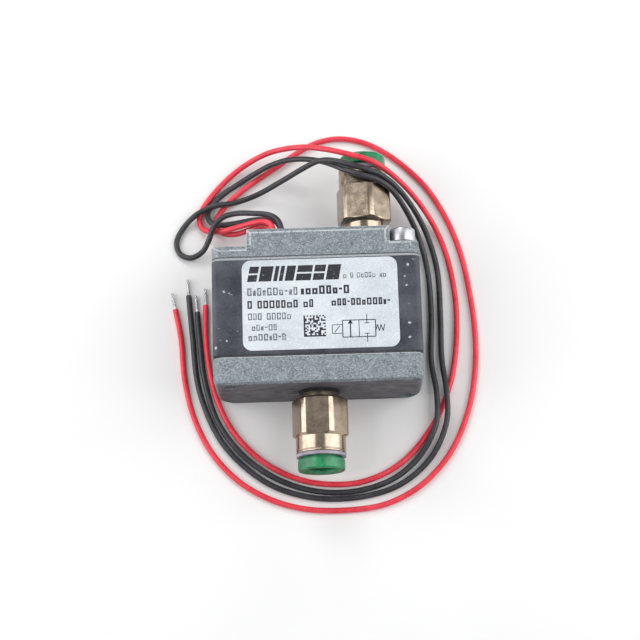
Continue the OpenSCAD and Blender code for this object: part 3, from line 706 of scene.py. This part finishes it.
def castBase():
    # rings of one rounded outline up the plate: the sides curve in to the lower face on a quarter
    # circle, the long edges on a small slope, and the upper rim on a small quarter circle
    size = baseCasting
    low, high = boxOf("base_plate")
    tall = high[1] - low[1]
    up = np.concatenate([size["levels"], tall - size["rim"] * np.array(size["rimShares"])])
    side = size["side"] - np.sqrt(size["side"] ** 2 - np.maximum(size["side"] - up, 0) ** 2)
    front = np.maximum(size["front"] - up, 0)
    fall = np.maximum(up - (tall - size["rim"]), 0)
    rim = size["rim"] - np.sqrt(size["rim"] ** 2 - fall ** 2)
    drawn = np.stack([up, side + rim, front + rim], 1)
    # the first and the last outline are drawn in again, so that the flat faces have a flat border
    border = np.array([0, size["border"], size["border"]])
    drawn = np.vstack([drawn[0] + border, drawn, drawn[-1] + border])
    rings = []
    for height, across, forward in drawn:
        outline = roundedBox(high[0], low[2], high[2], size["backRadius"], size["frontRadius"],
                             across, forward)
        level = np.full(len(outline), low[1] + height)
        rings.append(np.column_stack([outline[:, 0], level, outline[:, 1]]))
    grid = np.array(rings) * mm
    plate = solid("base_casting", [closedTube(grid)], "casting", replaces=["base_plate"],
                  smoothAngle=softEdges["smooth"])
    # the faces of the upper rim take the painted highlight finish
    plate.data.materials.append(finishes["castingHighlight"])
    worn = [face.center[1] > (high[1] - size["rim"]) * mm and face.normal[1] < 0.95
            for face in plate.data.polygons]
    plate.data.polygons.foreach_set("material_index", np.array(worn, np.int32))
    holes = [(x, z, size["holeRadius"], low[1] - 1, high[1] + 1) for x, z in size["holePlaces"]]
    port = (0, high[2] / 2, size["port"], low[1] - 1, low[1] + size["portDeep"])
    return drilled(plate, [*holes, port])


castBase()
softCopy("top_cover", "cover_casting", "casting", softEdges["cover"])
softCopy("coil_housing", "moulded_housing", "housing", softEdges["housing"])
print("castings and housing rounded")

# label

labelSheet = {"corner": 2.5, "edge": 0.03, "ink": 0.008, "seed": 11}
# places of the print, in millimetres right of and below the label's upper left corner, then pen widths
labelPrint = {
    "header": (1.4, 1.8, 26.8, 6.1), "code": (16.5, 16.0, 6.0, 14), "symbol": (27.0, 17.7),
    "darkRows": [(16.0, 7.7, 30.2, 10.1, 0.54), (1.4, 11.5, 19.6, 13.7, 0.42),
                 (24.2, 11.5, 41.2, 13.5, 0.42)],
    "faintRows": [(27.6, 4.3, 39.4, 5.8, 0.24), (1.4, 7.9, 15.4, 10.1, 0.38), (1.5, 15.0, 13.6, 16.9, 0.3),
                  (1.5, 18.2, 9.8, 19.9, 0.28), (1.5, 20.8, 12.0, 22.7, 0.36)],
}
headerMarks = {
    "lean": 0.2, "slit": 0.45, "narrow": 2.3, "wide": 4.2, "gap": 0.55, "last": 2.2, "spare": 0.3,
}
labelLow, labelHigh = boxOf("label")


def flatTile(outline, low, high, edge=0.0):
    # a thin tile standing on its outline: straight walls and a small slope inwards above them
    outline = np.asarray(outline, float)
    middle = outline.mean(0)
    shrink = 1 - edge / np.maximum(np.linalg.norm(outline - middle, axis=1, keepdims=True), 1e-6)
    rings = []
    for share, height in ((0, low), (0, high - edge), (1, high)) if edge else ((0, low), (0, high)):
        level = middle + (outline - middle) * (shrink if share else 1)
        rings.append(np.column_stack([level, np.full(len(level), height)]))
    return closedTube(np.array(rings) * mm)


def cutLabel():
    # film with quarter-circle corners and a thin rounded edge
    middle = (labelLow + labelHigh) / 2
    half = (labelHigh - labelLow) / 2
    radius = labelSheet["corner"]
    outline = roundedBox(half[0], -half[1], half[1], radius, radius, 0, 0) + middle[:2]
    tile = flatTile(outline, labelLow[2], labelHigh[2], labelSheet["edge"])
    return solid("label_film", [tile], "label", replaces=["label"], smoothAngle=30)


def printTile(left, top, right, bottom, lean=0.0):
    # one inked bar, placed from the label's upper left corner, its top shifted right by lean
    x0, y0 = labelLow[0], labelHigh[1]
    outline = [(x0 + left, y0 - bottom), (x0 + right, y0 - bottom),
               (x0 + right + lean, y0 - top), (x0 + left + lean, y0 - top)]
    return flatTile(outline, labelHigh[2], labelHigh[2] + labelSheet["ink"])


def printLine(a, b, wide):
    # a straight inked line of the given width between two points measured from the upper left corner
    a, b = np.array(a, float), np.array(b, float)
    side = np.array([a[1] - b[1], b[0] - a[0]])
    side *= wide / 2 / np.linalg.norm(side)
    corner = np.array([labelLow[0], labelHigh[1]])
    outline = [corner + np.array([p[0], -p[1]]) for p in (a - side, a + side, b + side, b - side)]
    return flatTile(outline, labelHigh[2], labelHigh[2] + labelSheet["ink"])


def boxMark(x, top, right, bottom, pen):
    # an empty box drawn with four strokes, as print shows where it has no letter
    return [(x, top, x + pen, bottom), (right - pen, top, right, bottom),
            (x + pen, top, right - pen, top + pen), (x + pen, bottom - pen, right - pen, bottom)]


def markRow(dice, left, top, right, bottom, pen):
    # a line of print as plain marks: tall and short boxes, blocks and dashes that spell nothing
    tall = bottom - top
    bars, x = [], left
    while x < right - 0.5 * tall:
        wide = tall * dice.uniform(0.48, 0.64)
        kind = dice.choice(["tall", "short", "block", "dash", "gap"], p=[0.5, 0.2, 0.1, 0.08, 0.12])
        if kind == "tall":
            bars += boxMark(x, top, x + wide, bottom, pen)
        if kind == "short":
            bars += boxMark(x, top + 0.28 * tall, x + wide, bottom, pen)
        if kind == "block":
            bars.append((x, top + 0.3 * tall, x + wide * 0.7, bottom))
        if kind == "dash":
            bars.append((x, bottom - 0.45 * tall - pen, x + wide * 0.7, bottom - 0.45 * tall))
        x += wide * (1.0 if kind in ("tall", "short") else 0.7) + 0.17 * tall
    return [printTile(*bar) for bar in bars]


def headerRow(dice, left, top, right, bottom):
    # the bold line: broad leaning blocks of uneven width, some split across or down the middle
    bars, x = [], left
    size, tall = headerMarks, bottom - top
    lean, slit = size["lean"], size["slit"]
    while x < right - size["last"]:
        wide = min(dice.uniform(size["narrow"], size["wide"]), right - x - size["spare"])
        middle = top + tall / 2
        kind = dice.choice(["whole", "across", "down"], p=[0.3, 0.4, 0.3])
        if kind == "whole":
            bars.append((x, top, x + wide, bottom, lean * tall))
        if kind == "across":
            upper, lower = middle - slit / 2, middle + slit / 2
            shift = lean * (bottom - upper)
            bars.append((x + shift, top, x + wide + shift, upper, lean * (upper - top)))
            bars.append((x, lower, x + wide, bottom, lean * (bottom - lower)))
        if kind == "down":
            bars.append((x, top, x + (wide - slit) / 2, bottom, lean * tall))
            bars.append((x + (wide + slit) / 2, top, x + wide, bottom, lean * tall))
        x += wide + size["gap"]
    return [printTile(*bar) for bar in bars]


def codeSquare(dice, left, top, size, cells):
    # a square of random cells inside two solid sides and two dotted ones
    step = size / cells
    filled = dice.random((cells, cells)) < 0.48
    filled[:, 0] = True
    filled[-1, :] = True
    filled[0, :] = np.arange(cells) % 2 == 0
    filled[1:-1, -1] = np.arange(cells - 2) % 2 == 0
    return [printTile(left + c * step, top + r * step, left + (c + 1) * step, top + (r + 1) * step)
            for r, c in np.argwhere(filled)]


def valveSymbol(left, top):
    # two-way two-position valve: two boxes, an arrow, blocked ports, a coil box and a return spring
    box = [((0, 0), (8.9, 0)), ((8.9, 0), (8.9, 4.7)), ((8.9, 4.7), (0, 4.7)), ((0, 4.7), (0, 0))]
    thin = [((4.45, 0), (4.45, 4.7)), ((-2.8, 1.2), (0, 1.2)), ((-2.8, 3.6), (0, 3.6)),
            ((-2.8, 1.2), (-2.8, 3.6)), ((-2.2, 3.3), (-0.7, 1.5)), ((6.6, -1.6), (6.6, 0.9)),
            ((6.0, 0.9), (7.2, 0.9)), ((6.6, 3.8), (6.6, 6.2)), ((6.0, 3.8), (7.2, 3.8))]
    arrow = [((2.1, 4.7), (2.1, 0.2)), ((2.1, 0.1), (1.6, 1.0)), ((2.1, 0.1), (2.6, 1.0))]
    spring = [(8.9, 3.2), (9.4, 1.4), (9.9, 3.2), (10.4, 1.4), (10.9, 3.2), (11.4, 1.4)]
    zigzag = list(zip(spring[:-1], spring[1:]))
    tiles = []
    for lines, pen in ((box, 0.26), (thin, 0.2), (arrow, 0.34), (zigzag, 0.24)):
        for (ax, ay), (bx, by) in lines:
            tiles.append(printLine((left + ax, top + ay), (left + bx, top + by), pen))
    return tiles


def printLabel():
    # all the print in two tones, drawn in the order of the lists
    dice = np.random.default_rng(labelSheet["seed"])
    dark = headerRow(dice, *labelPrint["header"])
    for row in labelPrint["darkRows"]:
        dark += markRow(dice, *row)
    dark += codeSquare(dice, *labelPrint["code"])
    dark += valveSymbol(*labelPrint["symbol"])
    faint = []
    for row in labelPrint["faintRows"]:
        faint += markRow(dice, *row)
    solid("label_print_dark", dark, "ink", weld=False)
    solid("label_print_faint", faint, "faintInk", weld=False)


cutLabel()
printLabel()
print("label printed")

# screws and grommet

screwHead = {
    "radius": 3.5, "high": 4.0, "shank": 2.0, "bevel": 0.4, "socket": 1.5, "depth": 2.2, "cone": 0.7,
    "round": 0.9, "sides": 120, "axis": 0.001,
}


def sixSided(angle, turn):
    # how much further out a hexagon's wall is than its flat, at each angle: one over the cosine
    return 1 / np.cos((angle - turn) % (np.pi / 3) - np.pi / 6)


def tieScrew(node, name):
    # cap screw: shank, head with a rounded crown, and a six-sided socket with a coned floor
    low, high = boxOf(node)
    size = screwHead
    radius, crown, shank, socket = size["radius"], size["high"], size["shank"], size["socket"]
    bevel, floor, foot = size["bevel"], crown - size["depth"], crown - (high[1] - low[1])
    outline = filleted([
        (size["axis"], foot), (shank - bevel, foot), (shank, foot + bevel), (shank, 0),
        (radius - 0.25, 0), (radius, 0.25), (radius, crown), (socket + 0.45, crown),
        (socket + 0.15, crown - 0.2), (socket, crown - 0.5), (socket, floor),
        (size["axis"], floor - size["cone"]),
    ], [0.01, 0.1, 0.1, 0.1, 0.1, 0.1, size["round"], 0.12, 0.05, 0.1, 0.05, 0.01])

    def socketShape(radius, height, angle):
        inside = (height > floor - 0.1) & (radius < socket + 0.1)
        return np.where(inside, radius * sixSided(angle, 0), radius + 0 * angle)

    centre = np.array([(low[0] + high[0]) / 2, high[1] - crown, (low[2] + high[2]) / 2]) * mm
    return turned(name, outline, centre, 1, "zinc", "screw", node, socketShape, size["sides"])


tieScrew("tie_screw_front", "cap_screw_front")
tieScrew("tie_screw_rear", "cap_screw_rear")


grommetSize = {"flangeHigh": 0.5, "lip": 0.8, "dish": 0.12, "dishEdge": 1.1, "dishFoot": 1.7, "axis": 0.001}


def wireGrommet():
    # rubber bush: a sleeve in the cover, a rounded flange on it, and a shallow dish round the leads
    low, high = boxOf("wire_grommet")
    size, top, flange = grommetSize, high[1] - low[1], (high[0] - low[0]) / 2
    sleeve, step, dish = flange - size["lip"], top - size["flangeHigh"], top - size["dish"]
    outline = filleted([
        (size["axis"], 0), (sleeve, 0), (sleeve, step), (flange, step), (flange, top),
        (flange - size["dishEdge"], top), (flange - size["dishFoot"], dish), (size["axis"], dish),
    ], [0.01, 0.3, 0.01, 0.18, 0.22, 0.3, 0.3, 0.01])
    centre = np.array([(low[0] + high[0]) / 2, low[1], (low[2] + high[2]) / 2]) * mm
    return turned("grommet_bush", outline, centre, 1, "rubber", "seal", "wire_grommet", None, 72, 35)


wireGrommet()
print("screws and grommet turned")

# fittings

fittingSize = {
    "thread": 4.86, "threadLong": 5.0, "bore": 2.8, "neck": 5.25, "flats": 14.0, "corner": 7.7,
    "hexLong": 10.6, "barrel": 6.85, "barrelLong": 4.6, "socket": 4.05, "stop": 2.0,
    "gland": 5.45, "glandLow": 6.5, "glandHigh": 8.9, "mouth": 5.9, "soft": 0.045, "groove": 0.1,
    "capFoot": 9.2, "capBore": 5.35, "capHigh": 0.9, "seal": 0.33, "tubeSeal": 0.68, "teeth": 12,
    "slit": 0.28,
}
collarSize = {"foot": 10.8, "head": 16.9, "end": 19.8, "bore": 4.1, "sleeve": 5.28, "rim": 6.45}
fittingPlaces = {
    "upper": {"node": "upper_fitting_body", "way": 1, "neck": 3.75, "turn": 44},
    "lower": {"node": "lower_fitting_body", "way": -1, "neck": 2.3, "turn": 7},
}


def onPort(which, name, outline, *details, **more):
    # turns one piece about the port's axis, from where that axis meets the body's face
    place = fittingPlaces[which]
    low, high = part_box(place["node"])
    deep = fittingSize["threadLong"] * mm
    face = low[1] + deep if place["way"] > 0 else high[1] - deep
    centre = ((low[0] + high[0]) / 2, face, (low[2] + high[2]) / 2)
    return turned(f"{which}_{name}", outline, centre, place["way"], *details, **more)


def fittingBody(which):
    # outline of neck, coned hexagon, barrel and stepped bore; flats come from the soft lesser of two radii
    size, place = fittingSize, fittingPlaces[which]
    neck, foot, flat = place["neck"], -size["threadLong"], size["flats"] / 2
    thread, bore, barrel, corner = size["thread"], size["bore"], size["barrel"], size["corner"]
    cone = (corner - flat + 0.2) * np.tan(np.radians(30))
    step = neck + size["hexLong"]
    end, waist = step + size["barrelLong"], barrel - size["groove"]
    glandLow, glandHigh, stop = (neck + size[word] for word in ("glandLow", "glandHigh", "stop"))
    outline = filleted([
        (bore, foot), (thread - 0.5, foot), (thread, foot + 0.5), (thread, 0), (thread + 0.05, 0.62),
        (size["neck"], 0.7), (size["neck"], neck - 0.35), (size["neck"] + 0.3, neck), (flat - 0.2, neck),
        (corner, neck + cone), (corner, step - cone), (barrel, step + 0.05),
        (barrel, end - 0.9), (waist, end - 0.8), (waist, end - 0.6), (barrel, end - 0.5),
        (barrel, end - 0.2), (barrel - 0.2, end), (size["mouth"], end), (size["mouth"], glandHigh),
        (size["gland"], glandHigh), (size["gland"], glandLow), (size["socket"], glandLow),
        (size["socket"], stop), (bore, stop),
    ], 0.1, 4)
    turn, soft = np.radians(place["turn"]), size["soft"]

    def flatted(radius, height, angle):
        wall = flat * sixSided(angle, turn)
        return -soft * np.log(np.exp(-radius / soft) + np.exp(-wall / soft)) + 0 * height

    return onPort(which, "hex_body", outline, "nickel", "nickel_brass", place["node"], flatted, 360, 50)


def fittingRing(which, name, corners, finish, slot, node, body="valve", radius=0.1, sides=144, ribs=None):
    # one ring of the fitting, drawn from the start of the hexagon and placed on the port
    outline = filleted(np.array(corners) + [0, fittingPlaces[which]["neck"]], radius)
    return onPort(which, name, outline, finish, slot, f"{which}_{node}", ribs, sides, body=body)


def sealRing(which, name, middle, height, wire, node):
    # round-section rubber ring: a circle of wire radius turned about the axis
    around = np.linspace(0, 2 * np.pi, 24, endpoint=False)
    outline = np.stack([middle + wire * np.cos(around), height + wire * np.sin(around)], -1)
    return onPort(which, name, outline, "rubber", "seal", f"{which}_{node}", None, 96, 35)


def collarCorners():
    # sleeve, undercut head with a rounded rim, and a funnel into the bore
    foot, head, end, bore, sleeve, rim = collarSize.values()
    return [(bore, foot), (sleeve, foot), (sleeve, head), (rim, head), (rim, end - 0.5), (rim - 0.2, end),
            (bore + 1.1, end), (bore + 0.85, end - 0.1), (bore, end - 0.8)]


def assembleFitting(which):
    size, place = fittingSize, fittingPlaces[which]
    neck, barrel, mouth, bore = place["neck"], size["barrel"], size["mouth"], size["capBore"]
    low, high, foot = size["glandLow"], size["glandHigh"], size["capFoot"]
    end = size["hexLong"] + size["barrelLong"]
    top, seal = end + size["capHigh"], size["seal"]
    fittingBody(which)
    sealRing(which, "face_seal", size["neck"] + 0.02, seal, seal, "shoulder_seal")
    sealRing(which, "bore_seal", (size["gland"] + size["socket"]) / 2, neck + (low + high) / 2,
             size["tubeSeal"], "tube_seal")
    cap = [(bore, foot), (mouth, foot), (mouth, end), (barrel, end), (barrel, top), (bore, top)]
    fittingRing(which, "ring_cap", cap, "ring", "ring", "retaining_ring", radius=0.22)

    def gripTeeth(radius, height, angle):
        # the inner edge is slit into teeth
        slit = 0.5 + 0.5 * np.cos(size["teeth"] * angle)
        return radius + size["slit"] * np.clip(slit - 0.8, 0, 1) * 5 * (radius < 4.8) + 0 * height

    teeth = [(5.0, high), (mouth, high), (mouth, foot), (5.0, foot), (4.3, 9.8), (4.08, 9.6)]
    fittingRing(which, "grip_teeth", teeth, "steel", "steel", "grip_ring", radius=0.04, ribs=gripTeeth,
                sides=192)
    fittingRing(which, "push_collar", collarCorners(), "collar", "collar", "release_collar",
                which + "_collar", radius=[0.1, 0.1, 0.1, 0.2, 0.3, 0.2, 0.15, 0.15, 0.1])


for which in fittingPlaces:
    assembleFitting(which)
print("fittings assembled")

# parts that keep the frame's own shape; those not named here are steel

plainParts = {
    "base_gasket": "baseGasket", "cover_gasket": "coverGasket", "nozzles": "brass",
    "hinge_cushion": "rubber",
}
for number in range(1, 5):
    for node, finish in (("shutter_pad", "rubber"), ("return_spring", "spring"), ("bobbin", "bobbin"),
                         ("winding", "winding")):
        plainParts[f"{node}_{number}"] = finish
for node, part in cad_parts.items():
    part.data.materials.clear()
    part.data.materials.append(finishes[plainParts.get(node, "steel")])
print("inner parts finished")

# floor and light

studio = {
    "floor": 3.0, "world": 0.36, "aim": (0, 0, 0.012),
    "panelWide": 0.9, "panelHigh": 0.46, "panelPower": 3.2, "panelAway": 0.6, "leftTip": 62, "rightTip": 56,
    "keyPlace": (-0.18, 0.5, 0.5), "keySize": 0.3, "keyPower": 1.5,
}


def layFloor():
    # flat sheet just under the valve
    half = studio["floor"]
    corners = [(-half, -half, 0), (half, -half, 0), (half, half, 0), (-half, half, 0)]
    mesh = bpy.data.meshes.new("floor")
    mesh.from_pydata(corners, [], [(0, 1, 2, 3)])
    mesh.materials.append(floorFinish())
    linked("floor", mesh)


def softbox(name, place, wide, high, power):
    # rectangular area light at place, facing the studio's aim
    lamp = linked(name, bpy.data.lights.new(name, "AREA"))
    lamp.data.shape = "RECTANGLE"
    lamp.data.size = wide
    lamp.data.size_y = high
    lamp.data.energy = power
    lamp.location = place
    lamp.rotation_euler = (Vector(studio["aim"]) - Vector(place)).to_track_quat("-Z", "Y").to_euler()


def setWorld():
    # even grey surroundings, so that metal faces turned straight up stay dark
    world = bpy.data.worlds.new("studio")
    bpy.context.scene.world = world
    world.use_nodes = True
    share = studio["world"]
    world.node_tree.nodes["Background"].inputs["Color"].default_value = (share, share, share * 1.01, 1)
    bpy.context.scene.view_settings.view_transform = "Standard"


layFloor()
setWorld()
for side, name, degrees in ((-1, "left_panel", studio["leftTip"]), (1, "right_panel", studio["rightTip"])):
    tip = np.radians(degrees)
    place = (side * studio["panelAway"] * np.sin(tip), 0.0, studio["panelAway"] * np.cos(tip))
    softbox(name, place, studio["panelHigh"], studio["panelWide"], studio["panelPower"])
softbox("key", studio["keyPlace"], studio["keySize"], studio["keySize"], studio["keyPower"])
print("floor and light set")
